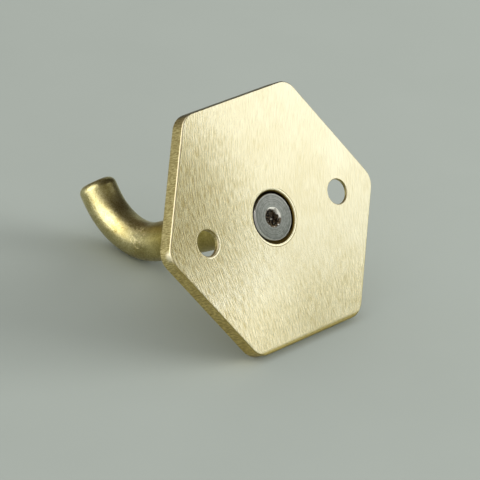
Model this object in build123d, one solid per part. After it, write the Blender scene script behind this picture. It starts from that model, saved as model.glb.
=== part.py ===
from build123d import *
from math import cos, radians, sin, tan
import os

# Wall hook: a hexagonal brass plate, a bent brass arm and the countersunk screw that clamps them together.
# Millimetres. The origin is the centre of the plate's back face. +Y points into the wall, +Z points up and
# the arm stands out towards -Y, so the plate lies between Y = -plate_thickness and Y = 0.

# Plate
plate_across_flats = 60.0
plate_thickness = 4.0
plate_corner_radius = 5.0
plate_arris_radius = 0.4

# Arm, a round rod
arm_diameter = 9.8
arm_straight_length = 39.8
arm_bend_radius = 17.4
arm_bend_angle = 80.0
arm_end_length = 4.0
arm_tip_radius = 2.0
arm_base_chamfer = 0.3

# Wall-screw holes, one on each side of the arm. Left and right are as seen from the front.
# They were countersunk by hand, so their lands and their rims at the back differ.
wall_hole_spacing = 44.0
wall_hole_diameter = 6.2
right_hole_land = 1.2
right_hole_rim_radius = 0.45
left_hole_land = 0.8
left_hole_rim_chamfer = 0.15

# Fixing screw, a metric countersunk screw with a hexagon socket
screw_thread_diameter = 6.0
screw_length = 16.0
screw_head_diameter = 11.8
screw_head_rim_chamfer = 0.3
screw_end_chamfer = 0.6
socket_across_flats = 4.0
socket_depth = 2.5
socket_mouth_chamfer = 0.25
socket_turn = 7.0
countersink_angle = 90.0

# Clearances between the pieces
screw_hole_clearance = 0.3
screw_thread_clearance = 0.05
screw_head_gap = 0.8
screw_head_sink = 0.25
countersink_rim_chamfer = 0.15
tapped_hole_spare_depth = 2.5
tapped_hole_chamfer = 0.5
drill_point_angle = 118.0

# Sizes that follow from the ones above
front_face_y = -plate_thickness
arm_radius = arm_diameter / 2
thread_radius = screw_thread_diameter / 2
screw_radius = thread_radius - screw_thread_clearance
head_radius = screw_head_diameter / 2
countersink_radius = head_radius + screw_head_gap
clearance_hole_radius = thread_radius + screw_hole_clearance
cone_slope = tan(radians(countersink_angle / 2))
drill_slope = tan(radians(drill_point_angle / 2))
right_hole_x = wall_hole_spacing / 2
left_hole_x = -right_hole_x
tapped_depth = screw_length + screw_head_sink - plate_thickness + tapped_hole_spare_depth


def revolved(points):
    """Turn a closed outline of (radius, y) points about the Y axis into a solid."""
    outline = make_face(Polyline(*points, close=True))
    return revolve(outline, Axis.Y)


def facing_back(y):
    """A sketch plane at height y whose normal is +Y and whose local Y axis is -Z."""
    return Plane(origin=(0, y, 0), x_dir=(1, 0, 0), z_dir=(0, 1, 0))


def upright_edges(solid):
    """The edges that run along Y."""
    return solid.edges().filter_by(Axis.Y)


def edges_on(solid, y):
    """The edges that lie in the plane at height y."""
    return solid.edges().filter_by_position(Axis.Y, y, y)


def plate_blank():
    """The hexagon with its rounded corners and softened arrises, flats at the top and bottom."""
    hexagon = RegularPolygon(plate_across_flats / 2, 6, major_radius=False)
    blank = extrude(facing_back(front_face_y) * hexagon, plate_thickness)
    blank = fillet(upright_edges(blank), plate_corner_radius)
    arrises = edges_on(blank, 0) + edges_on(blank, front_face_y)
    return fillet(arrises, plate_arris_radius)


def fixing_hole():
    """The cutter for the screw's hole: a countersink at the back and a clearance hole behind it."""
    cone_depth = (countersink_radius - clearance_hole_radius) / cone_slope
    return revolved([
        (0, 0),
        (countersink_radius, 0),
        (clearance_hole_radius, -cone_depth),
        (clearance_hole_radius, front_face_y),
        (0, front_face_y),
    ])


def wall_hole(x, land):
    """The cutter for one wall-screw hole: a short land at the back, countersunk on the front."""
    radius = wall_hole_diameter / 2
    front_radius = radius + (plate_thickness - land) * cone_slope
    cutter = revolved([
        (0, 0),
        (radius, 0),
        (radius, -land),
        (front_radius, front_face_y),
        (0, front_face_y),
    ])
    return Pos(x, 0, 0) * cutter


def hole_mouth(plate, x):
    """The round mouth, in the back face, of the hole that is centred at x."""
    closed_edges = edges_on(plate, 0).filter_by(lambda edge: edge.is_closed)
    return closed_edges.sort_by(lambda edge: abs(edge.arc_center.X - x))[0]


def back_plate():
    """The plate with its three holes and their softened rims."""
    plate = plate_blank() - fixing_hole()
    plate -= wall_hole(right_hole_x, right_hole_land)
    plate -= wall_hole(left_hole_x, left_hole_land)
    plate = chamfer(hole_mouth(plate, 0), countersink_rim_chamfer)
    plate = chamfer(hole_mouth(plate, left_hole_x), left_hole_rim_chamfer)
    return fillet(hole_mouth(plate, right_hole_x), right_hole_rim_radius)


def arm_path():
    """The rod's centre line: straight out of the plate, round the bend and a short way on."""
    base = Vector(0, front_face_y, 0)
    bend_start = Vector(0, front_face_y - arm_straight_length, 0)
    turn = radians(arm_bend_angle)
    bend_end = bend_start + Vector(0, -arm_bend_radius * sin(turn), arm_bend_radius * (1 - cos(turn)))
    tip = bend_end + Vector(0, -arm_end_length * cos(turn), arm_end_length * sin(turn))
    straight = Line(base, bend_start)
    bend = TangentArc(bend_start, bend_end, tangent=(0, -1, 0))
    return Wire([straight, bend, Line(bend_end, tip)])


def tapped_hole():
    """The cutter for the blind hole in the arm's base, with its mouth chamfer and drill point."""
    mouth_radius = thread_radius + tapped_hole_chamfer
    end_y = front_face_y - tapped_depth
    return revolved([
        (0, front_face_y),
        (mouth_radius, front_face_y),
        (thread_radius, front_face_y - tapped_hole_chamfer),
        (thread_radius, end_y),
        (0, end_y - thread_radius / drill_slope),
    ])


def hook_arm():
    """The bent rod with its softened tip and its tapped base."""
    path = arm_path()
    section = Plane(origin=path @ 0, z_dir=path % 0) * Circle(arm_radius)
    arm = sweep(section, path)
    tip_face = arm.faces().filter_by(GeomType.PLANE).sort_by(Axis.Y)[0]
    arm = fillet(tip_face.edges(), arm_tip_radius)
    arm = chamfer(edges_on(arm, front_face_y), arm_base_chamfer)
    return arm - tapped_hole()


def screw_body():
    """The screw's turned form: rim, cone, threaded shank and chamfered end."""
    top = -screw_head_sink
    cone_top = (head_radius - countersink_radius) / cone_slope
    cone_end = cone_top - (head_radius - screw_radius) / cone_slope
    end = top - screw_length
    return revolved([
        (0, top),
        (head_radius - screw_head_rim_chamfer, top),
        (head_radius, top - screw_head_rim_chamfer),
        (head_radius, cone_top),
        (screw_radius, cone_end),
        (screw_radius, end + screw_end_chamfer),
        (screw_radius - screw_end_chamfer, end),
        (0, end),
    ])


def hex_socket():
    """The cutter for the key's socket: a chamfered mouth, six flats and a drill point at the bottom."""
    top = -screw_head_sink
    corner_radius = socket_across_flats / 2 / cos(radians(30))
    mouth_radius = corner_radius + socket_mouth_chamfer
    mouth_end = top - mouth_radius
    hexagon = RegularPolygon(corner_radius, 6, rotation=30 + socket_turn)
    flats = extrude(facing_back(top - socket_depth) * hexagon, socket_depth)
    mouth = revolved([(0, top), (mouth_radius, top), (0, mouth_end)])
    drilled = socket_across_flats / 2
    point = revolved([
        (0, top - socket_depth),
        (drilled, top - socket_depth),
        (0, top - socket_depth - drilled / drill_slope),
    ])
    return flats + mouth + point


def fixing_screw():
    """The countersunk screw, its head a little below the plate's back face."""
    return screw_body() - hex_socket()


os.makedirs("parts", exist_ok=True)
export_step(back_plate(), "parts/back_plate.step")
export_step(hook_arm(), "parts/hook_arm.step")
export_step(fixing_screw(), "parts/fixing_screw.step")
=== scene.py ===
"""Dresses the wall hook and lights it as it lies on a pale floor, seen from behind.

Metres, in the part's own frame: the plate's back face is Y = 0, +Z is up and the arm stands out towards -Y.
The materials work in millimetres of the same frame.
"""
import logging
import math
from collections.abc import Iterable
from dataclasses import dataclass, field
from enum import Enum

import bpy
from mathutils import Matrix, Quaternion, Vector

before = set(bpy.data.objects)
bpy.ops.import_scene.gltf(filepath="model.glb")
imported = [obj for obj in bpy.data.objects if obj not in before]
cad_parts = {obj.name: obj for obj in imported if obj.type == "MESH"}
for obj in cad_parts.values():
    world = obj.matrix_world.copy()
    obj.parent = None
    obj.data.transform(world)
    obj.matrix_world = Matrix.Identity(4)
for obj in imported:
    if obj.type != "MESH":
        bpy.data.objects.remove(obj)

LOG = logging.getLogger("wall_hook")
MM = 0.001
PER_MM = 1000.0
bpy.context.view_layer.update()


class Piece(Enum):
    """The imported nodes, by name."""

    PLATE = "back_plate"
    ARM = "hook_arm"
    SCREW = "fixing_screw"


class Kind(Enum):
    """The shader nodes that the materials are built from."""

    BACKGROUND = "ShaderNodeBackground"
    BUMP = "ShaderNodeBump"
    CLEAR = "ShaderNodeBsdfTransparent"
    COMBINE = "ShaderNodeCombineXYZ"
    COORDINATES = "ShaderNodeTexCoord"
    EMISSION = "ShaderNodeEmission"
    GEOMETRY = "ShaderNodeNewGeometry"
    MAP_RANGE = "ShaderNodeMapRange"
    MATH = "ShaderNodeMath"
    MATT = "ShaderNodeBsdfDiffuse"
    METAL = "ShaderNodeBsdfPrincipled"
    MIX = "ShaderNodeMix"
    MIX_SHADER = "ShaderNodeMixShader"
    NOISE = "ShaderNodeTexNoise"
    RAYS = "ShaderNodeLightPath"
    SEPARATE = "ShaderNodeSeparateXYZ"
    SURFACE = "ShaderNodeOutputMaterial"
    TO_WORLD = "ShaderNodeVectorTransform"
    VECTOR_MATH = "ShaderNodeVectorMath"
    WORLD = "ShaderNodeOutputWorld"


class Sum(Enum):
    """The way that a node combines its numbers or its vectors."""

    ABSOLUTE = "ABSOLUTE"
    COMPARE = "COMPARE"
    DIFFERENCE = "SUBTRACT"
    DISTANCE = "DISTANCE"
    DOT = "DOT_PRODUCT"
    LENGTH = "LENGTH"
    MAXIMUM = "MAXIMUM"
    MULTIPLY = "MULTIPLY"
    MULTIPLY_ADD = "MULTIPLY_ADD"
    NORMALIZE = "NORMALIZE"
    SCALE = "SCALE"
    SINE = "SINE"


class Seed(Enum):
    """Where each noise starts, so that no two patterns are alike."""

    STREAKS = 0.0
    FINE_STREAKS = 1.0
    FILE_MARKS = 3.0
    RINGS = 4.0
    DINTS = 5.0
    FLECKS = 6.0
    SHEET_PATCHES = 7.0
    GLINTS = 8.0
    ROD_PATCHES = 9.0
    SCUFFS = 11.0
    TEARS = 12.0


# Settings that many nodes share: a soft step, a mix of two colours, one colour tinted by another, and a noise
# with a seed.
SMOOTH = {"interpolation_type": "SMOOTHSTEP"}
COLOUR = {"data_type": "RGBA"}
TINT = {**COLOUR, "blend_type": Sum.MULTIPLY}
SEEDED = {"noise_dimensions": "4D"}
# The middle of a noise, and so the level of a relief that shows nothing.
MIDDLE = 0.5
# What feeds an input: a node, by its first output in use, or one of a node's outputs.
Source = bpy.types.Node | bpy.types.NodeSocket


def linear(hex_colour: str) -> tuple[float, float, float, float]:
    """Turn an sRGB hex colour into linear light.

    Args:
        hex_colour: Six hex digits, such as "e8d9a0".

    Returns:
        Red, green, blue and an alpha of 1.
    """
    channels = [int(hex_colour[i:i + 2], 16) / 255 for i in (0, 2, 4)]
    lit = [c / 12.92 if c <= 0.04045 else ((c + 0.055) / 1.055) ** 2.4 for c in channels]
    return (*lit, 1.0)


def in_use(sockets: Iterable[bpy.types.NodeSocket]) -> list[bpy.types.NodeSocket]:
    """The sockets that a node's settings leave in use, in order."""
    return [socket for socket in sockets if socket.enabled]


def add_node(tree: bpy.types.NodeTree, kind: Kind, inputs: dict | tuple = (),
             **settings: str | bool | Enum) -> bpy.types.Node:
    """Add a node with its settings, values and links.

    Args:
        tree: The node tree that takes the node.
        kind: Which node.
        inputs: The inputs in use, in order or by name. Each is a value, or a node or output that feeds it.
        **settings: Properties of the node.

    Returns:
        The new node.
    """
    node = tree.nodes.new(kind.value)
    for name, setting in settings.items():
        setattr(node, name, setting.value if isinstance(setting, Enum) else setting)
    named = isinstance(inputs, dict)
    sockets = node.inputs if named else in_use(node.inputs)
    for key, value in inputs.items() if named else enumerate(inputs):
        if isinstance(value, bpy.types.Node):
            value = in_use(value.outputs)[0]
        if isinstance(value, bpy.types.NodeSocket):
            tree.links.new(value, sockets[key])
        else:
            sockets[key].default_value = value.value if isinstance(value, Enum) else value
    return node


@dataclass(frozen=True)
class Spot:
    """Where a shaded point lies on the part, in millimetres, and which way its surface faces.

    The radius is the distance from the screw's axis.
    """

    point: Source
    x: Source
    y: Source
    z: Source
    radius: Source
    normal: Source

    @classmethod
    def of(cls, tree: bpy.types.NodeTree) -> "Spot":
        """Make the coordinates for one material.

        Args:
            tree: The material's node tree.

        Returns:
            The coordinates.
        """
        source = add_node(tree, Kind.COORDINATES)
        point = add_node(tree, Kind.VECTOR_MATH, (source.outputs["Object"], PER_MM), operation=Sum.SCALE)
        x, y, z = add_node(tree, Kind.SEPARATE, (point,)).outputs
        level = add_node(tree, Kind.COMBINE, (x, 0.0, z))
        radius = add_node(tree, Kind.VECTOR_MATH, (level,), operation=Sum.LENGTH)
        return cls(point, x, y, z, radius, source.outputs["Normal"])


@dataclass(frozen=True)
class Look:
    """What a metal shows at a point: colour, roughness and relief, which way it faces, and how bare it is."""

    colour: Source
    roughness: Source
    height: Source
    normal: Source
    bare: Source | float = 1.0


@dataclass(frozen=True)
class Metal:
    """A bare metal whose look comes from patterns.

    The relief is the depth of its pattern in millimetres. Its tone goes from deep to bright over a stretch of
    that pattern, in which a second one, of patches or flecks, has a share.
    """

    name: str
    relief: float
    bright: str
    deep: str
    patch_share: float
    tone_range: tuple[float, float]

    def look(self, tree: bpy.types.NodeTree, at: Spot) -> Look:
        """Build the patterns.

        Args:
            tree: The material's node tree.
            at: The coordinates.

        Returns:
            What the metal shows.
        """
        raise NotImplementedError

    def toned(self, tree: bpy.types.NodeTree, pattern: Source, patch: Source) -> Source:
        """Colour the metal light and deep.

        Args:
            tree: The material's node tree.
            pattern: The fine pattern that sets the tone.
            patch: The second pattern, which has a share in it.

        Returns:
            The colour.
        """
        tone = add_node(tree, Kind.MAP_RANGE, (self.patch_share, 0.0, 1.0, pattern, patch))
        light = add_node(tree, Kind.MAP_RANGE, (tone, *self.tone_range), **SMOOTH)
        return add_node(tree, Kind.MIX, (light, linear(self.deep), linear(self.bright)), **COLOUR)

    def material(self) -> bpy.types.Material:
        """Build the material from the look.

        Returns:
            The material.
        """
        material = bpy.data.materials.new(self.name)
        material.use_nodes = True
        tree = material.node_tree
        tree.nodes.clear()
        seen = self.look(tree, Spot.of(tree))
        facing = add_node(tree, Kind.TO_WORLD, (seen.normal,), vector_type="NORMAL", convert_from="OBJECT",
                          convert_to="WORLD")
        relief = add_node(tree, Kind.BUMP, {
            "Height": seen.height, "Distance": self.relief * MM, "Normal": facing,
        })
        metal = add_node(tree, Kind.METAL, {
            "Base Color": seen.colour, "Roughness": seen.roughness, "Normal": relief, "Metallic": seen.bare,
        })
        add_node(tree, Kind.SURFACE, (metal,))
        return material


@dataclass(frozen=True)
class LinishedBrass(Metal):
    """Brass sheet, linished by hand on a belt, its edges filed and its recess cut with a countersink.

    The belt leaves short streaks that glitter light and dark. They sway as the hand swung the plate, and
    they are crisp at the left and nearly gone at the upper right. The hand let the left side fall away a
    little, so it mirrors less of the window and looks deeper; it and the bottom are also painted a warmer,
    deeper yellow, as shade. The edges show fine file marks straight across and are painted deeper low down,
    as shade. The arrises have a painted highlight at the upper left and painted olive shade elsewhere, and
    the corner at the left has a painted highlight and leans a little, as after a knock. The rims round the
    holes have painted highlights at their lower right, and a painted brown line of shade lies outside the
    recess's ring. The recess and the top edge are painted dark and the bottom of the back olive, as shade.
    Left and right are as the photo shows them, from behind, so +X is at the left.
    """

    name: str = "hand linished brass"
    relief: float = 0.045
    bright: str = "f7f0d5"
    deep: str = "dacc9e"
    patch_share: float = 0.12
    tone_range: tuple[float, float] = (0.38, 0.58)
    patches: float = 14.0
    # Of these colours, all but the edge tones paint light or shade: warm shade, highlights, olive, black and
    # brown shade.
    painted_warm_shade: str = "fff8e1"
    rim_highlight: str = "fbf2d2"
    arris_highlight: str = "eee3c0"
    arris_shade: str = "b0a062"
    edge_bright: str = "eedfa2"
    edge_deep: str = "9b864a"
    black_shade: str = "1d150a"
    brown_shade: str = "8a7438"
    face_roughness: float = 0.27
    edge_roughness: float = 0.38
    arris_roughness: float = 0.65
    ring_roughness: float = 0.24
    # A belt's scratches are under 0.1 mm wide. The photo can't show those, so they are drawn in bundles this
    # wide and long, in millimetres. The finer bundles have this share.
    streak: tuple[float, float] = (0.32, 3.2)
    fine_streak: tuple[float, float] = (0.18, 1.6)
    fine_share: float = 0.45
    # The streaks' slant, and how far they sway to each side, at the right and at the left of the back.
    swayed: tuple[float, float] = (-16.0, 20.0)
    slant: tuple[float, float] = (0.36, 0.06)
    sway: tuple[float, float] = (0.3, 1.55)
    # The sway is a wave up the plate: its turn for each millimetre and its start, in radians.
    sway_turn: float = 0.116
    sway_start: float = -2.09
    # The strokes curve a little, so they stand steeper towards the bottom.
    stroke_curve: float = 0.007
    # The streaks are crisp towards the left, less so above and below it, half so along the bottom, and
    # faintest elsewhere.
    crisp_across: tuple[float, float] = (-10.0, 28.0)
    crisp_low: tuple[float, float] = (-4.0, -26.0)
    crispness: tuple[float, float, float] = (0.26, 0.92, 1.6)
    crisp_inset: float = -0.3
    # The side that falls away: how steep, where it starts and ends across the back, and between which
    # heights.
    fall: float = 0.09
    fall_across: tuple[float, float] = (-8.0, 32.0)
    fall_low: tuple[float, float] = (-20.0, 4.0)
    fall_high: tuple[float, float] = (12.0, 45.0)
    # The falling side and the bottom are painted a warmer, deeper yellow, as shade, by this share at most.
    low_face_shade: tuple[float, float] = (-8.0, -24.0)
    face_shade_share: float = 0.45
    # Below the side that falls away, the face looks up a little.
    lift: float = 0.075
    # Where the arris begins and ends, by how squarely the surface looks to the front or back: 1 is a face and
    # 0 an edge. The shading is flattened where it begins, so that the face runs on into it.
    turning: tuple[float, float] = (0.76, 0.92)
    arris_end: tuple[float, float] = (0.10, 0.40)
    flattening: float = 5.0
    # The arris has a painted highlight where it looks this way, and painted olive shade where it doesn't.
    highlight_way: tuple[float, float, float] = (0.5, 0.0, 0.87)
    highlight_reach: tuple[float, float] = (0.08, 0.40)
    # The corner at the left has a painted highlight on a knock: a pale spot that looks a little backwards.
    knock: tuple[float, float, float] = (33.8, -0.7, 0.3)
    knock_reach: tuple[float, float] = (0.3, 1.9)
    knock_lean: float = 0.17
    # Along the bottom the face is painted olive too, as shade.
    bottom_border_shade: tuple[float, float] = (-28.7, -29.5)
    # The edges are painted deeper low down, as shade. Their fine file marks run straight across.
    low_edge_shade: tuple[float, float] = (2.0, -6.0)
    file_mark: tuple[float, float] = (0.24, 1.2)
    file_mark_relief: tuple[float, float] = (0.25, 0.75)
    grit_range: tuple[float, float] = (0.25, 0.75)
    # The top edge is painted dark, as shade.
    top_shade_from: tuple[float, float] = (29.3, 29.9)
    top_shade: float = 0.7
    # Painted highlight on the recess's ring, and a painted brown line of shade outside it: radius and half
    # width, and where they fade out.
    ring: tuple[float, float] = (6.94, 0.13)
    ring_shade_line: tuple[float, float] = (7.16, 0.08)
    shade_line_share: float = 0.9
    ring_side: tuple[float, float] = (3.0, 0.0)
    # The painted highlight on the rim round the hole at the left: its centre, radius and half width, and
    # where it fades out.
    rim_centre: tuple[float, float, float] = (22.0, 0.0, 0.0)
    rim: tuple[float, float] = (3.62, 0.14)
    rim_side: tuple[float, float] = (21.0, 18.5)
    # The recess: its width, how far down its painted shade starts, and where it ends above the front face.
    recess: tuple[float, float] = (6.80, 6.72)
    recess_depth: tuple[float, float] = (-0.16, -0.06)
    recess_bottom: tuple[float, float] = (-3.95, -3.85)
    # Its painted shade is black deep down, and brown near its mouth and along its bottom.
    black_shade_depth: tuple[float, float] = (-0.46, -0.22)
    brown_shade_low: tuple[float, float] = (-3.5, -6.2)
    # The painted light and shade on the arrises, along the bottom and round the recess are only at the back.
    behind: tuple[float, float] = (-2.0, -1.0)

    def look(self, tree: bpy.types.NodeTree, at: Spot) -> Look:
        """Build the patterns.

        Args:
            tree: The material's node tree.
            at: The coordinates.

        Returns:
            What the metal shows.
        """
        facing = add_node(tree, Kind.SEPARATE, (at.normal,)).outputs["Y"]
        flatness = add_node(tree, Kind.MATH, (facing,), operation=Sum.ABSOLUTE)
        face = add_node(tree, Kind.MAP_RANGE, (flatness, *self.turning), **SMOOTH)
        behind = add_node(tree, Kind.MAP_RANGE, (at.y, *self.behind))
        off_edge = add_node(tree, Kind.MAP_RANGE, (flatness, *self.arris_end, 0.0, behind), **SMOOTH)
        arris = add_node(tree, Kind.MAP_RANGE, (flatness, *self.turning, off_edge, 0.0), **SMOOTH)
        rim, burnished_and_highlit, shade_line = self.rims(tree, at, behind)
        fall, rise = self.hand_sway(tree, at, rim)
        # Painted highlight: a pale spot on the corner at the left, whose surface also leans.
        from_knock = add_node(tree, Kind.VECTOR_MATH, (at.point, self.knock), operation=Sum.DISTANCE)
        knock_and_highlight = add_node(tree, Kind.MAP_RANGE, (from_knock, *self.knock_reach, 1.0, 0.0), **SMOOTH)
        streaks = self.streaks(tree, at)
        marks = self.file_marks(tree, at)
        scratched = add_node(tree, Kind.MAP_RANGE, (burnished_and_highlit, 0.0, 1.0, streaks, MIDDLE))
        shallow = add_node(tree, Kind.MAP_RANGE, (marks, 0.0, 1.0, *self.file_mark_relief))
        height = add_node(tree, Kind.MAP_RANGE, (face, 0.0, 1.0, shallow, scratched))
        patch = add_node(tree, Kind.NOISE, {
            "Vector": at.point, "W": Seed.SHEET_PATCHES, "Scale": 1 / self.patches,
        }, **SEEDED)
        linished = self.toned(tree, streaks, patch)
        # Painted shade: the falling side and the bottom are tinted a warmer, deeper yellow.
        bottom = add_node(tree, Kind.MAP_RANGE, (at.z, *self.low_face_shade, 0.0, self.face_shade_share), **SMOOTH)
        face_shade = add_node(tree, Kind.MATH, (fall, bottom), operation=Sum.MAXIMUM)
        face_shaded = add_node(tree, Kind.MIX, (face_shade, linished, linear(self.painted_warm_shade)), **TINT)
        # Painted highlight on the rims, at their lower right.
        rim_highlit = add_node(tree, Kind.MIX, (burnished_and_highlit, face_shaded, linear(self.rim_highlight)), **COLOUR)
        # Painted shade: a brown line outside the recess's ring, at its lower right.
        lined = add_node(tree, Kind.MATH, (shade_line, self.shade_line_share), operation=Sum.MULTIPLY)
        shade_lined = add_node(tree, Kind.MIX, (lined, rim_highlit, linear(self.brown_shade)), **COLOUR)
        # Painted shade: an olive border along the bottom of the back.
        bottom_border_shade = add_node(tree, Kind.MAP_RANGE, (at.z, *self.bottom_border_shade, 0.0, behind), **SMOOTH)
        bordered = add_node(tree, Kind.MIX, (bottom_border_shade, shade_lined, linear(self.arris_shade)), **COLOUR)
        edge = self.edge_colour(tree, at, marks, arris, knock_and_highlight)
        open_colour = add_node(tree, Kind.MIX, (face, edge, bordered), **COLOUR)
        smooth = add_node(tree, Kind.MAP_RANGE, (
            burnished_and_highlit, 0.0, 1.0, self.face_roughness, self.ring_roughness,
        ))
        edged = add_node(tree, Kind.MAP_RANGE, (face, 0.0, 1.0, self.edge_roughness, smooth))
        roughness = add_node(tree, Kind.MAP_RANGE, (arris, 0.0, 1.0, edged, self.arris_roughness))
        lean = add_node(tree, Kind.COMBINE, (fall, knock_and_highlight, rise))
        return Look(self.recess_shaded(tree, at, open_colour), roughness, height, self.leaning(tree, at, flatness, lean))

    def rims(self, tree: bpy.types.NodeTree, at: Spot, behind: Source) -> tuple[Source, Source, Source]:
        """Find the rims, which have a painted highlight only at their lower right.

        Args:
            tree: The material's node tree.
            at: The coordinates.
            behind: 1 at the back of the plate.

        Returns:
            The rim of the hole at the left, both rims with their painted highlights together, and the painted
            brown line of shade outside the recess's ring.
        """
        side = add_node(tree, Kind.MATH, (at.x, at.z))
        lower_right = add_node(tree, Kind.MAP_RANGE, (side, *self.ring_side, 0.0, behind), **SMOOTH)
        whole_ring = add_node(tree, Kind.MATH, (at.radius, *self.ring), operation=Sum.COMPARE)
        ring = add_node(tree, Kind.MATH, (whole_ring, lower_right), operation=Sum.MULTIPLY)
        whole_shade_line = add_node(tree, Kind.MATH, (at.radius, *self.ring_shade_line), operation=Sum.COMPARE)
        shade_line = add_node(tree, Kind.MATH, (whole_shade_line, lower_right), operation=Sum.MULTIPLY)
        apart = add_node(tree, Kind.VECTOR_MATH, (at.point, self.rim_centre), operation=Sum.DISTANCE)
        whole_rim = add_node(tree, Kind.MATH, (apart, *self.rim), operation=Sum.COMPARE)
        rim_part = add_node(tree, Kind.MAP_RANGE, (side, *self.rim_side), **SMOOTH)
        rim = add_node(tree, Kind.MATH, (whole_rim, rim_part), operation=Sum.MULTIPLY)
        burnished_and_highlit = add_node(tree, Kind.MATH, (ring, rim), operation=Sum.MAXIMUM)
        return rim, burnished_and_highlit, shade_line

    def file_marks(self, tree: bpy.types.NodeTree, at: Spot) -> Source:
        """The file's marks on the edges, as a relief from 0 to 1.

        Args:
            tree: The material's node tree.
            at: The coordinates.

        Returns:
            The relief.
        """
        width, length = self.file_mark
        filed = add_node(tree, Kind.VECTOR_MATH, (at.point, (1 / width, 1 / length, 1 / width)),
                         operation=Sum.MULTIPLY)
        return add_node(tree, Kind.NOISE, {
            "Vector": filed, "W": Seed.FILE_MARKS, "Scale": 1.0, "Detail": 2.0, "Roughness": 0.6,
        }, **SEEDED)

    def edge_colour(self, tree: bpy.types.NodeTree, at: Spot, marks: Source, arris: Source,
                    knock_and_highlight: Source) -> Source:
        """The colour of the filed edges and of the arrises.

        Args:
            tree: The material's node tree.
            at: The coordinates.
            marks: The file marks.
            arris: 1 on the arrises at the back.
            knock_and_highlight: 1 in the middle of the knock's spot, where a highlight is painted.

        Returns:
            The colour.
        """
        grit = add_node(tree, Kind.MAP_RANGE, (marks, *self.grit_range), **SMOOTH)
        sandy = add_node(tree, Kind.MIX, (grit, linear(self.edge_deep), linear(self.edge_bright)), **COLOUR)
        # Painted shade: the edges are tinted deeper low down.
        below = add_node(tree, Kind.MAP_RANGE, (at.z, *self.low_edge_shade), **SMOOTH)
        olive = add_node(tree, Kind.MIX, (below, sandy, linear(self.painted_warm_shade)), **TINT)
        corner_highlit = add_node(tree, Kind.MIX, (knock_and_highlight, olive, linear(self.arris_highlight)), **COLOUR)
        # Painted highlight where the arris looks up and to the left, painted olive shade elsewhere.
        toward = add_node(tree, Kind.VECTOR_MATH, (at.normal, self.highlight_way), operation=Sum.DOT)
        pale = add_node(tree, Kind.MAP_RANGE, (toward, *self.highlight_reach), **SMOOTH)
        tint = add_node(tree, Kind.MIX, (pale, linear(self.arris_shade), linear(self.arris_highlight)), **COLOUR)
        rubbed_and_highlit = add_node(tree, Kind.MIX, (arris, corner_highlit, tint), **COLOUR)
        # Painted shade along the top edge.
        top_shaded = add_node(tree, Kind.MAP_RANGE, (at.z, *self.top_shade_from, 0.0, self.top_shade), **SMOOTH)
        return add_node(tree, Kind.MIX, (top_shaded, rubbed_and_highlit, linear(self.black_shade)), **COLOUR)

    def recess_shaded(self, tree: bpy.types.NodeTree, at: Spot, open_colour: Source) -> Source:
        """Paint shade in the recess: black deep down, brown near its mouth and along its bottom.

        Args:
            tree: The material's node tree.
            at: The coordinates.
            open_colour: The colour outside the recess's painted shade.

        Returns:
            The colour with the recess's painted shade.
        """
        # Painted shade in the recess.
        inside = add_node(tree, Kind.MAP_RANGE, (at.y, *self.recess_bottom))
        near = add_node(tree, Kind.MAP_RANGE, (at.radius, *self.recess, 0.0, inside), **SMOOTH)
        down = add_node(tree, Kind.MAP_RANGE, (at.y, *self.recess_depth, near, 0.0), **SMOOTH)
        low = add_node(tree, Kind.MAP_RANGE, (at.z, *self.brown_shade_low), **SMOOTH)
        thin = add_node(tree, Kind.MAP_RANGE, (at.y, *self.black_shade_depth, low, 1.0), **SMOOTH)
        recess_shade = add_node(tree, Kind.MIX, (thin, linear(self.black_shade), linear(self.brown_shade)), **COLOUR)
        return add_node(tree, Kind.MIX, (down, open_colour, recess_shade), **COLOUR)

    def streaks(self, tree: bpy.types.NodeTree, at: Spot) -> Source:
        """The belt's streaks, as a relief from 0 to 1.

        Args:
            tree: The material's node tree.
            at: The coordinates.

        Returns:
            The relief.
        """
        slant = add_node(tree, Kind.MAP_RANGE, (at.x, *self.swayed, *self.slant))
        sway = add_node(tree, Kind.MAP_RANGE, (at.x, *self.swayed, *self.sway))
        turn = add_node(tree, Kind.MATH, (at.z, self.sway_turn, self.sway_start), operation=Sum.MULTIPLY_ADD)
        wave = add_node(tree, Kind.MATH, (turn,), operation=Sum.SINE)
        swung = add_node(tree, Kind.MATH, (wave, sway, at.x), operation=Sum.MULTIPLY_ADD)
        curve = add_node(tree, Kind.MATH, (at.z, self.stroke_curve), operation=Sum.MULTIPLY)
        curved = add_node(tree, Kind.MATH, (curve, at.z, at.z), operation=Sum.MULTIPLY_ADD)
        across = add_node(tree, Kind.MATH, (curved, slant, swung), operation=Sum.MULTIPLY_ADD)
        stroke = add_node(tree, Kind.COMBINE, (across, at.y, at.z))
        layers = []
        for seed, (width, length) in ((Seed.STREAKS, self.streak), (Seed.FINE_STREAKS, self.fine_streak)):
            drawn = add_node(tree, Kind.VECTOR_MATH, (stroke, (1 / width, 1 / width, 1 / length)),
                             operation=Sum.MULTIPLY)
            layers.append(add_node(tree, Kind.NOISE, {
                "Vector": drawn, "W": seed, "Scale": 1.0, "Detail": 2.0, "Roughness": 0.55,
            }, **SEEDED))
        both = add_node(tree, Kind.MAP_RANGE, (self.fine_share, 0.0, 1.0, *layers))
        faint, half, full = self.crispness
        off_level = add_node(tree, Kind.MATH, (at.z,), operation=Sum.ABSOLUTE)
        inset = add_node(tree, Kind.MATH, (off_level, self.crisp_inset, at.x), operation=Sum.MULTIPLY_ADD)
        sideways = add_node(tree, Kind.MAP_RANGE, (inset, *self.crisp_across, faint, full), **SMOOTH)
        low = add_node(tree, Kind.MAP_RANGE, (at.z, *self.crisp_low, 0.0, half), **SMOOTH)
        crisp = add_node(tree, Kind.MATH, (sideways, low), operation=Sum.MAXIMUM)
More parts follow.
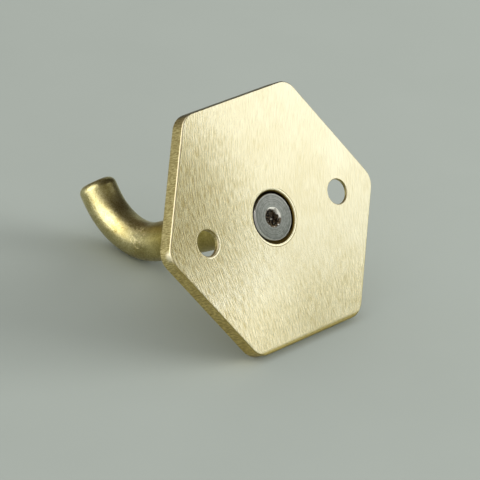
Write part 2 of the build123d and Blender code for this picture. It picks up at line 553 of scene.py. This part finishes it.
        return add_node(tree, Kind.MAP_RANGE, (crisp, 0.0, 1.0, MIDDLE, both), clamp=False)

    def hand_sway(self, tree: bpy.types.NodeTree, at: Spot, rim: Source) -> tuple[Source, Source]:
        """How far the hand let the face fall away outwards, and how far it lets it look up, from 0 to 1.

        Args:
            tree: The material's node tree.
            at: The coordinates.
            rim: 1 on the hole's bright rim, which does neither.

        Returns:
            The fall and the rise.
        """
        across = add_node(tree, Kind.MAP_RANGE, (at.x, *self.fall_across), **SMOOTH)
        leans = add_node(tree, Kind.MAP_RANGE, (rim, 0.0, 1.0, across, 0.0))
        below = add_node(tree, Kind.MAP_RANGE, (at.z, *self.fall_low, 0.0, leans), **SMOOTH)
        fall = add_node(tree, Kind.MAP_RANGE, (at.z, *self.fall_high, below, 0.0), **SMOOTH)
        rise = add_node(tree, Kind.MAP_RANGE, (at.z, *self.fall_low, leans, 0.0), **SMOOTH)
        return fall, rise

    def leaning(self, tree: bpy.types.NodeTree, at: Spot, flatness: Source, lean: Source) -> Source:
        """The surface's direction, leant where the hand swayed, and levelled where the arris begins.

        Args:
            tree: The material's node tree.
            at: The coordinates.
            flatness: From 0 on the edges to 1 on the faces.
            lean: How far the face falls away, looks back where it was knocked, and looks up.

        Returns:
            The direction.
        """
        stretch = add_node(tree, Kind.MAP_RANGE, (flatness, *self.turning, 1.0, self.flattening), **SMOOTH)
        flatter = add_node(tree, Kind.COMBINE, (1.0, stretch, 1.0))
        levelled = add_node(tree, Kind.VECTOR_MATH, (at.normal, flatter), operation=Sum.MULTIPLY)
        even = add_node(tree, Kind.VECTOR_MATH, (levelled,), operation=Sum.NORMALIZE)
        leant = add_node(tree, Kind.VECTOR_MATH, (lean, (self.fall, self.knock_lean, self.lift), even),
                         operation=Sum.MULTIPLY_ADD)
        return add_node(tree, Kind.VECTOR_MATH, (leant,), operation=Sum.NORMALIZE)


@dataclass(frozen=True)
class TumbledBrass(Metal):
    """Drawn brass rod, tumbled with stones after bending.

    The stones leave a satin mottle of tiny dints, so the highlights are soft and grainy at their edges. The
    outside of the bend has a few scuffs from lying on it.
    """

    name: str = "tumbled brass rod"
    relief: float = 0.085
    bright: str = "d3c996"
    deep: str = "aa9b60"
    patch_share: float = 0.4
    tone_range: tuple[float, float] = (0.38, 0.62)
    # Towards the plate the rod is painted a deeper, warmer yellow, as shade.
    painted_warm_shade: str = "f4ebc0"
    plate_shade_from: tuple[float, float] = (-48.0, -37.0)
    # The dints are about 0.2 mm across. They are drawn a little coarser, to show at the photo's scale.
    dint: float = 0.34
    # The rod is smoother in some patches than in others.
    patches: float = 5.0
    patch_range: tuple[float, float] = (0.3, 0.7)
    roughness: tuple[float, float] = (0.27, 0.37)
    # The scuffs: their middle and reach, their spacing, their soft edge, their depth and their colour.
    scuff_centre: tuple[float, float, float] = (4.2, -46.6, 3.0)
    scuff_reach: tuple[float, float] = (1.8, 3.8)
    scuff: float = 1.1
    scuff_edge: tuple[float, float] = (0.055, 0.020)
    scuff_depth: float = -1.2
    scuff_tone: str = "e9dba6"

    def look(self, tree: bpy.types.NodeTree, at: Spot) -> Look:
        """Build the patterns.

        Args:
            tree: The material's node tree.
            at: The coordinates.

        Returns:
            What the metal shows.
        """
        dints = add_node(tree, Kind.NOISE, {
            "Vector": at.point, "W": Seed.DINTS, "Scale": 1 / self.dint, "Detail": 3.0, "Roughness": 0.6,
        }, **SEEDED)
        patch = add_node(tree, Kind.NOISE, {
            "Vector": at.point, "W": Seed.ROD_PATCHES, "Scale": 1 / self.patches,
        }, **SEEDED)
        away = add_node(tree, Kind.VECTOR_MATH, (at.point, self.scuff_centre), operation=Sum.DISTANCE)
        scuffs = add_node(tree, Kind.NOISE, {
            "Vector": at.point, "W": Seed.SCUFFS, "Scale": 1 / self.scuff, "Detail": 1.0, "Distortion": 1.0,
        }, **SEEDED)
        crossing = add_node(tree, Kind.MATH, (scuffs, MIDDLE), operation=Sum.DIFFERENCE)
        off_line = add_node(tree, Kind.MATH, (crossing,), operation=Sum.ABSOLUTE)
        sharp = add_node(tree, Kind.MAP_RANGE, (off_line, *self.scuff_edge), **SMOOTH)
        mark = add_node(tree, Kind.MAP_RANGE, (away, *self.scuff_reach, sharp, 0.0), **SMOOTH)
        height = add_node(tree, Kind.MATH, (mark, self.scuff_depth, dints), operation=Sum.MULTIPLY_ADD)
        satin = self.toned(tree, dints, patch)
        # Painted shade: the rod is tinted deeper towards the plate.
        toward_plate = add_node(tree, Kind.MAP_RANGE, (at.y, *self.plate_shade_from), **SMOOTH)
        plate_shaded = add_node(tree, Kind.MIX, (toward_plate, satin, linear(self.painted_warm_shade)), **TINT)
        colour = add_node(tree, Kind.MIX, (mark, plate_shaded, linear(self.scuff_tone)), **COLOUR)
        roughness = add_node(tree, Kind.MAP_RANGE, (patch, *self.patch_range, *self.roughness), **SMOOTH)
        return Look(colour, roughness, height, at.normal)


@dataclass(frozen=True)
class TurnedSteel(Metal):
    """Plain steel screw, its head faced on a lathe and its socket broached.

    The tool leaves fine rings that give the grey head a soft sheen. The rim is paler, as wear and as a
    painted highlight. The socket is painted dark as shade, in black and brown patches, with painted glints
    most at its upper right near the mouth.
    """

    name: str = "turned plain steel"
    relief: float = 0.006
    bright: str = "a9aba5"
    deep: str = "7f807b"
    patch_share: float = 0.4
    tone_range: tuple[float, float] = (0.38, 0.62)
    # The rim's paler colour: wear, and partly a painted highlight.
    rubbed_and_highlit: str = "d2d0c8"
    black_socket_shade: str = "1f1810"
    brown_socket_shade: str = "7a6a50"
    glint_tone: str = "fffdf0"
    roughness: float = 0.34
    rim_roughness: float = 0.22
    socket_roughness: float = 0.26
    # The facing tool left the head very slightly domed, which shades it from one side to the other.
    dome: float = 0.010
    # The lathe's rings are under 0.1 mm apart. They are drawn coarser, to show at the photo's scale.
    rings: float = 0.22
    fleck: float = 0.5
    # Where the rim's paler colour starts, how wide the socket is and how deep its mouth.
    rim: tuple[float, float] = (5.48, 5.58)
    socket: tuple[float, float] = (2.65, 2.50)
    socket_mouth: tuple[float, float] = (-0.40, -0.27)
    # Painted glints lie in patches this size, with this edge; painted shade between, mottled black and brown.
    glint_patches: float = 0.55
    glint_edge: tuple[float, float] = (0.635, 0.675)
    shade_mottle_range: tuple[float, float] = (0.44, 0.60)
    # The painted glints gather at the upper right of the walls, near the mouth.
    glint_side: tuple[float, float] = (0.9, 2.3)
    glint_depth: tuple[float, float] = (-1.9, -0.9)
    glint_share: float = 0.28
    # Broaching tore the socket's walls: the size of the tears and the depth of their relief.
    tear: float = 0.35
    tear_depth: float = 25.0

    def look(self, tree: bpy.types.NodeTree, at: Spot) -> Look:
        """Build the patterns.

        Args:
            tree: The material's node tree.
            at: The coordinates.

        Returns:
            What the metal shows.
        """
        spread = add_node(tree, Kind.COMBINE, (at.radius, at.y, 0.0))
        rings = add_node(tree, Kind.NOISE, {
            "Vector": spread, "W": Seed.RINGS, "Scale": 1 / self.rings, "Detail": 1.0, "Roughness": 0.6,
        }, **SEEDED)
        flecks = add_node(tree, Kind.NOISE, {
            "Vector": at.point, "W": Seed.FLECKS, "Scale": 1 / self.fleck,
        }, **SEEDED)
        turned = self.toned(tree, rings, flecks)
        rim = add_node(tree, Kind.MAP_RANGE, (at.radius, *self.rim), **SMOOTH)
        near = add_node(tree, Kind.MAP_RANGE, (at.radius, *self.socket), **SMOOTH)
        socket = add_node(tree, Kind.MAP_RANGE, (at.y, *self.socket_mouth, near, 0.0), **SMOOTH)
        smooth = add_node(tree, Kind.MATH, (rim, socket), operation=Sum.MAXIMUM)
        # Paler on the rim, as wear and partly as a painted highlight.
        open_colour = add_node(tree, Kind.MIX, (smooth, turned, linear(self.rubbed_and_highlit)), **COLOUR)
        tears = add_node(tree, Kind.NOISE, {
            "Vector": at.point, "W": Seed.TEARS, "Scale": 1 / self.tear,
        }, **SEEDED)
        colour = add_node(tree, Kind.MIX, (socket, open_colour, self.socket_colour(tree, at, tears)), **COLOUR)
        outside = add_node(tree, Kind.MAP_RANGE, (rim, 0.0, 1.0, self.roughness, self.rim_roughness))
        roughness = add_node(tree, Kind.MAP_RANGE, (socket, 0.0, 1.0, outside, self.socket_roughness))
        domed = add_node(tree, Kind.VECTOR_MATH, (at.point, (self.dome, 0.0, self.dome), at.normal),
                         operation=Sum.MULTIPLY_ADD)
        leant = add_node(tree, Kind.VECTOR_MATH, (domed,), operation=Sum.NORMALIZE)
        torn = add_node(tree, Kind.MATH, (tears, self.tear_depth), operation=Sum.MULTIPLY)
        height = add_node(tree, Kind.MAP_RANGE, (socket, 0.0, 1.0, rings, torn))
        # The socket is matt, not metal, so that its painted shade and glints show.
        bare = add_node(tree, Kind.MAP_RANGE, (socket, 0.0, 1.0, 1.0, 0.0))
        return Look(colour, roughness, height, leant, bare)

    def socket_colour(self, tree: bpy.types.NodeTree, at: Spot, tears: Source) -> Source:
        """The colour of the socket: painted glints among patches of painted shade.

        Args:
            tree: The material's node tree.
            at: The coordinates.
            tears: The pattern of the torn walls.

        Returns:
            The colour.
        """
        # Painted glints and painted shade in the socket.
        glint_noise = add_node(tree, Kind.NOISE, {
            "Vector": at.point, "W": Seed.GLINTS, "Scale": 1 / self.glint_patches,
        }, **SEEDED)
        shallow = add_node(tree, Kind.MAP_RANGE, (at.y, *self.glint_depth, 0.0, self.glint_share))
        upper_right = add_node(tree, Kind.MATH, (at.z, at.x), operation=Sum.DIFFERENCE)
        glint_bias = add_node(tree, Kind.MAP_RANGE, (upper_right, *self.glint_side, 0.0, shallow))
        glint_field = add_node(tree, Kind.MATH, (glint_noise, glint_bias))
        glinting = add_node(tree, Kind.MAP_RANGE, (glint_field, *self.glint_edge), **SMOOTH)
        mottle = add_node(tree, Kind.MAP_RANGE, (tears, *self.shade_mottle_range), **SMOOTH)
        socket_shade_colour = add_node(tree, Kind.MIX, (mottle, linear(self.black_socket_shade), linear(self.brown_socket_shade)), **COLOUR)
        return add_node(tree, Kind.MIX, (glinting, socket_shade_colour, linear(self.glint_tone)), **COLOUR)


@dataclass(frozen=True)
class Dressing:
    """One CAD piece and the metal that it is made of."""

    piece: Piece
    metal: Metal

    def apply(self, nodes: dict[str, bpy.types.Object]) -> None:
        """Put the metal on every slot of the piece.

        Args:
            nodes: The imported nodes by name.
        """
        target = nodes[self.piece.value]
        material = self.metal.material()
        for slot in target.material_slots:
            slot.material = material
        LOG.info("%s is %s", target.name, material.name)


@dataclass(frozen=True)
class Viewpoint:
    """The photograph's camera: its aim, distance and roll, with a long lens."""

    azimuth: float = 139.59
    elevation: float = 5.07
    roll: float = 17.67
    distance: float = 0.7161
    aim: Vector = Vector((0.00734, -0.00592, -0.00279))
    lens: float = 225.0
    sensor: float = 36.0
    clip_start: float = 0.01
    clip_end: float = 20.0

    def backward(self) -> Vector:
        """The direction from the aim to the camera."""
        turn, rise = math.radians(self.azimuth), math.radians(self.elevation)
        return Vector((math.sin(turn) * math.cos(rise), -math.cos(turn) * math.cos(rise), math.sin(rise)))

    def build(self) -> None:
        """Make the camera and set it as the scene's own."""
        data = bpy.data.cameras.new("camera")
        data.lens = self.lens
        data.sensor_width = self.sensor
        data.clip_start = self.clip_start
        data.clip_end = self.clip_end
        camera = bpy.data.objects.new("camera", data)
        bpy.context.scene.collection.objects.link(camera)
        back = self.backward()
        upright = (-back).to_track_quat("-Z", "Y")
        camera.rotation_mode = "QUATERNION"
        camera.rotation_quaternion = upright @ Quaternion((0, 0, 1), math.radians(-self.roll))
        camera.location = self.aim + back * self.distance
        bpy.context.scene.camera = camera


@dataclass(frozen=True)
class Resting:
    """How the hook lies: on the plate's lower front arris and on the outside of the arm's bend.

    Each of these two rounds is given by its centre and its radius.
    """

    arris: Vector = Vector((0.0, -0.0036, -0.0296))
    arris_radius: float = 0.0004
    bend: Vector = Vector((0.0, -0.0438, 0.0174))
    bend_radius: float = 0.0223

    def up(self) -> Vector:
        """Work out which way is up, square to the line that touches both rounds from below.

        Returns:
            The floor's upward normal.
        """
        span = self.bend - self.arris
        rise = (self.bend_radius - self.arris_radius) / span.length
        along = span.normalized()
        across = Vector((0.0, along.z, -along.y))
        return along * rise + across * math.sqrt(1 - rise * rise)

    def foot(self) -> Vector:
        """The point where the plate's arris touches the floor."""
        return self.arris - self.up() * self.arris_radius


@dataclass(frozen=True)
class Panel:
    """A flat rectangle that faces the hook.

    It is placed by its bearing from the camera and its height over the floor, in degrees as the hook sees it.
    """

    name: str
    bearing: float
    height: float
    distance: float
    width: float
    tall: float
    radiance: float

    def pose(self, studio: "Studio") -> Matrix:
        """Work out the place and turn of the panel.

        Args:
            studio: The studio, for the floor's directions.

        Returns:
            A matrix whose Z axis points away from the hook.
        """
        turn, rise = math.radians(self.bearing), math.radians(self.height)
        level = studio.toward_camera * math.cos(turn) + studio.rightward * math.sin(turn)
        outward = level * math.cos(rise) + studio.up * math.sin(rise)
        side = studio.up.cross(outward).normalized()
        facing = Matrix((side, outward.cross(side), outward)).transposed().to_4x4()
        return Matrix.Translation(studio.centre + outward * self.distance) @ facing


@dataclass(frozen=True)
class Softbox(Panel):
    """A soft lamp. Metal mirrors it, unless it only fills."""

    mirrored: bool = True

    def build(self, studio: "Studio") -> None:
        """Make the lamp.

        Args:
            studio: The studio, for the floor's directions.
        """
        data = bpy.data.lights.new(self.name, "AREA")
        data.shape = "RECTANGLE"
        data.size = self.width
        data.size_y = self.tall
        data.energy = self.radiance * self.width * self.tall * math.pi
        lamp = bpy.data.objects.new(self.name, data)
        bpy.context.scene.collection.objects.link(lamp)
        lamp.matrix_world = self.pose(studio)
        lamp.visible_camera = False
        lamp.visible_glossy = self.mirrored
        LOG.info("lamp: %s", self.name)


@dataclass(frozen=True)
class Card(Panel):
    """A card that only shows in the metal's gloss, as a photographer sets for contrast."""

    tint: str = "ffffff"

    def build(self, studio: "Studio") -> None:
        """Make the card.

        Args:
            studio: The studio, for the floor's directions.
        """
        x, y = self.width / 2, self.tall / 2
        mesh = bpy.data.meshes.new(self.name)
        mesh.from_pydata([(-x, -y, 0), (x, -y, 0), (x, y, 0), (-x, y, 0)], [], [(0, 1, 2, 3)])
        card = bpy.data.objects.new(self.name, mesh)
        bpy.context.scene.collection.objects.link(card)
        card.matrix_world = self.pose(studio)
        material = bpy.data.materials.new(self.name)
        material.use_nodes = True
        material.node_tree.nodes.clear()
        glow = add_node(material.node_tree, Kind.EMISSION, (linear(self.tint), self.radiance))
        add_node(material.node_tree, Kind.SURFACE, (glow,))
        mesh.materials.append(material)
        card.visible_camera = card.visible_diffuse = card.visible_shadow = card.visible_transmission = False
        LOG.info("card: %s", self.name)


@dataclass
class Studio:
    """The pale floor, the backdrop's colour and the soft lamps."""

    resting: Resting = Resting()
    viewpoint: Viewpoint = Viewpoint()
    centre: Vector = Vector((0.0, -0.02, 0.0))
    backdrop: str = "aeb5ad"
    # The paper is faintly mottled, in patches of this many millimetres.
    paper: str = "b0b7af"
    paper_shade: str = "acb3ab"
    paper_mottle: float = 30.0
    floor_radius: float = 0.6
    floor_sides: int = 96
    # The floor fades out between these two distances from the hook, in millimetres.
    fade: tuple[float, float] = (300.0, 560.0)
    ambient: float = 0.74
    # The dark cards are a little warm.
    warm: str = "fff0d8"
    up: Vector = field(init=False)
    toward_camera: Vector = field(init=False)
    rightward: Vector = field(init=False)

    def __post_init__(self) -> None:
        """Work out the floor's directions as the camera sees them."""
        self.up = self.resting.up()
        back = self.viewpoint.backward()
        self.toward_camera = (back - self.up * back.dot(self.up)).normalized()
        self.rightward = self.up.cross(self.toward_camera)

    def build(self) -> None:
        """Make the floor, the world and the lamps."""
        self.build_floor()
        self.build_world()
        for panel in (*self.softboxes(), *self.cards()):
            panel.build(self)

    def softboxes(self) -> list[Softbox]:
        """The lamps: a window to the right, and one that metal doesn't mirror, for the soft shadow."""
        return [
            Softbox("right window", bearing=93.5, height=21.5, distance=0.90, width=0.30, tall=0.26,
                    radiance=1.36),
            Softbox("shadow lamp", bearing=90.0, height=18.0, distance=1.40, width=1.15, tall=0.66,
                    radiance=6.2, mirrored=False),
        ]

    def cards(self) -> list[Card]:
        """What the metal mirrors besides: a pale card at the camera's left, and dark ones all round."""
        return [
            Card("pale card", bearing=-60.0, height=28.0, distance=0.80, width=0.72, tall=0.90,
                 radiance=3.90),
            Card("grey card", bearing=-12.0, height=26.0, distance=0.80, width=0.62, tall=0.80,
                 radiance=0.42),
            Card("ceiling card", bearing=30.0, height=80.0, distance=1.2, width=3.0, tall=3.0, radiance=0.07,
                 tint=self.warm),
            Card("front card", bearing=42.0, height=26.0, distance=1.1, width=0.95, tall=1.1, radiance=0.18,
                 tint=self.warm),
            Card("right card", bearing=134.0, height=26.0, distance=1.1, width=1.30, tall=1.1, radiance=0.05,
                 tint=self.warm),
            Card("back card", bearing=-142.0, height=26.0, distance=1.1, width=1.5, tall=1.1, radiance=0.14,
                 tint=self.warm),
        ]

    def build_floor(self) -> None:
        """Make a round floor under the hook that fades out at its edge and shows only from above."""
        turns = [math.tau * i / self.floor_sides for i in range(self.floor_sides)]
        spokes = [self.toward_camera * math.cos(t) + self.rightward * math.sin(t) for t in turns]
        ring = [self.resting.foot() + spoke * self.floor_radius for spoke in spokes]
        mesh = bpy.data.meshes.new("floor")
        mesh.from_pydata([tuple(p) for p in ring], [], [tuple(range(self.floor_sides))])
        floor = bpy.data.objects.new("floor", mesh)
        bpy.context.scene.collection.objects.link(floor)
        mesh.materials.append(self.floor_material())
        LOG.info("floor laid")

    def floor_material(self) -> bpy.types.Material:
        """Plain matt paper, see-through from below so that it hides nothing.

        Returns:
            The material.
        """
        material = bpy.data.materials.new("matt paper")
        material.use_nodes = True
        tree = material.node_tree
        tree.nodes.clear()
        at = Spot.of(tree)
        mottle = add_node(tree, Kind.NOISE, {"Vector": at.point, "Scale": 1 / self.paper_mottle})
        toned = add_node(tree, Kind.MIX, (mottle, linear(self.paper_shade), linear(self.paper)), **COLOUR)
        matt = add_node(tree, Kind.MATT, (toned,))
        clear = add_node(tree, Kind.CLEAR)
        foot = self.resting.foot() * PER_MM
        away = add_node(tree, Kind.VECTOR_MATH, (at.point, tuple(foot)), operation=Sum.DISTANCE)
        faded = add_node(tree, Kind.MAP_RANGE, (away, *self.fade), **SMOOTH)
        under = add_node(tree, Kind.GEOMETRY).outputs["Backfacing"]
        seen = add_node(tree, Kind.RAYS).outputs["Is Camera Ray"]
        hidden = add_node(tree, Kind.MATH, (under, seen), operation=Sum.MULTIPLY)
        gone = add_node(tree, Kind.MATH, (faded, hidden), operation=Sum.MAXIMUM)
        both = add_node(tree, Kind.MIX_SHADER, (gone, matt, clear))
        add_node(tree, Kind.SURFACE, (both,))
        return material

    def build_world(self) -> None:
        """Light the scene evenly, and show the backdrop's colour to the camera and in gloss."""
        world = bpy.data.worlds.new("studio")
        bpy.context.scene.world = world
        world.use_nodes = True
        tree = world.node_tree
        tree.nodes.clear()
        rays = add_node(tree, Kind.RAYS).outputs
        sharp = add_node(tree, Kind.MATH, (rays["Is Camera Ray"], rays["Is Glossy Ray"]),
                         operation=Sum.MAXIMUM)
        shown = add_node(tree, Kind.MATH, (sharp, rays["Is Transmission Ray"]), operation=Sum.MAXIMUM)
        light = add_node(tree, Kind.BACKGROUND, (linear("ffffff"), self.ambient))
        seen = add_node(tree, Kind.BACKGROUND, (linear(self.backdrop), 1.0))
        both = add_node(tree, Kind.MIX_SHADER, (shown, light, seen))
        add_node(tree, Kind.WORLD, (both,))


def main() -> None:
    """Build the camera, dress the pieces and light them."""
    logging.basicConfig(level=logging.INFO)
    bpy.context.scene.view_settings.view_transform = "Standard"
    studio = Studio()
    studio.viewpoint.build()
    dressings = (
        Dressing(Piece.PLATE, LinishedBrass()),
        Dressing(Piece.ARM, TumbledBrass()),
        Dressing(Piece.SCREW, TurnedSteel()),
    )
    for dressing in dressings:
        dressing.apply(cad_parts)
    studio.build()


if __name__ == "__main__":
    main()
